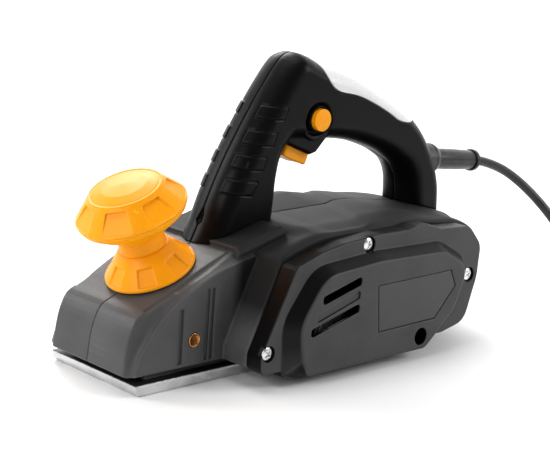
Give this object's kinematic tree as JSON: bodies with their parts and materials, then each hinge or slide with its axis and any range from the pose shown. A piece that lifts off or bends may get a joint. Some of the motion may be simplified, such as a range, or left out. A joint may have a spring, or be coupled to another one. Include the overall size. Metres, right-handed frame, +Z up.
{
  "type": "electric hand planer",
  "caption": "Corded electric hand planer with a closed rear handle, a front depth knob, a side belt cover, a turning cutter drum and a long mains lead.",
  "frame": {"origin": "on the sole plane, on the planer's centre line, 20 mm behind the front edge of the rear shoe", "axes": "+X from the front knob towards the cord, -Y towards the belt cover, +Z up from the sole"},
  "size_m": [0.627, 0.1698, 0.1918],
  "materials": {
    "black_plastic": "fine matt grain",
    "dark_plastic": "satin",
    "white_plastic": "satin",
    "yellow_plastic": "satin",
    "cast_aluminium": "milled",
    "steel": "ground",
    "brass": "turned",
    "copper": "wound wire",
    "carbon": "matt",
    "rubber": "matt"
  },
  "bodies": {
    "main": {"housing_left": "black_plastic", "housing_right": "black_plastic", "handle_left": "black_plastic", "handle_right": "black_plastic", "belt_cover": "black_plastic", "chip_outlet": "black_plastic", "label_plate": "dark_plastic", "knob_dial_ring": "dark_plastic", "switch_body": "dark_plastic", "cord_gland": "dark_plastic", "handle_insert": "white_plastic", "rear_shoe": "cast_aluminium", "handle_screw_1": "steel", "handle_screw_2": "steel", "handle_screw_3": "steel", "handle_screw_4": "steel", "cover_screw_1": "steel", "cover_screw_2": "steel", "cover_screw_3": "steel", "shoe_spring": "steel", "drum_bearing_left": "steel", "drum_bearing_right": "steel", "stator_core": "steel", "motor_bearing_left": "steel", "motor_bearing_right": "steel", "fence_thread_insert": "brass", "brush_holder_1": "brass", "brush_holder_2": "brass", "stator_winding_left": "copper", "stator_winding_right": "copper", "carbon_brush_1": "carbon", "carbon_brush_2": "carbon", "drive_belt": "rubber", "strain_relief": "rubber", "cord_tube": "rubber", "cord_coil": "rubber", "cord_plug": "rubber"},
    "knob": {"knob_base": "yellow_plastic", "knob_cap": "yellow_plastic", "depth_spindle": "steel"},
    "front_shoe_body": {"front_shoe": "cast_aluminium"},
    "trigger_body": {"trigger": "yellow_plastic"},
    "lock_button": {"lock_off_button": "yellow_plastic"},
    "drum": {"cutter_drum": "cast_aluminium", "planer_blade_1": "steel", "planer_blade_2": "steel", "blade_clamp_1": "cast_aluminium", "blade_clamp_2": "cast_aluminium", "drum_pulley": "cast_aluminium"},
    "rotor": {"armature_shaft": "steel", "armature_core": "steel", "commutator": "copper", "cooling_fan": "dark_plastic", "motor_pulley": "steel"}
  },
  "joints": [
    {"name": "depth_knob", "type": "hinge", "parent": "main", "child": "knob", "pos_m": [-0.1108, 0, 0.0635], "axis": [-0.4004, 0, 0.9164], "range_deg": [0, 360]},
    {"name": "front_shoe_slide", "type": "slide", "parent": "main", "child": "front_shoe_body", "axis": [-0.4004, 0, 0.9164], "range_m": [0, 0.0022], "stiffness_N_per_m": 20, "springref_m": 0.1, "deforming": ["shoe_spring"]},
    {"name": "trigger_press", "type": "slide", "parent": "main", "child": "trigger_body", "axis": [0.3641, 0, 0.9314], "range_m": [0, 0.005], "stiffness_N_per_m": 600, "springref_m": -0.003},
    {"name": "lock_off_press", "type": "slide", "parent": "main", "child": "lock_button", "axis": [0, 1, 0], "range_m": [0, 0.004], "stiffness_N_per_m": 500, "springref_m": -0.002},
    {"name": "drum_spin", "type": "hinge", "parent": "main", "child": "drum", "pos_m": [-0.024, 0, 0.028], "axis": [0, 1, 0], "continuous": true},
    {"name": "motor_spin", "type": "hinge", "parent": "main", "child": "rotor", "pos_m": [0.054, 0, 0.05], "axis": [0, 1, 0], "continuous": true}
  ],
  "couplings": [
    {"joint": "front_shoe_slide", "follows": "depth_knob", "m_per_rad": 0.00035},
    {"joint": "motor_spin", "follows": "drum_spin", "ratio": 1.7222}
  ]
}
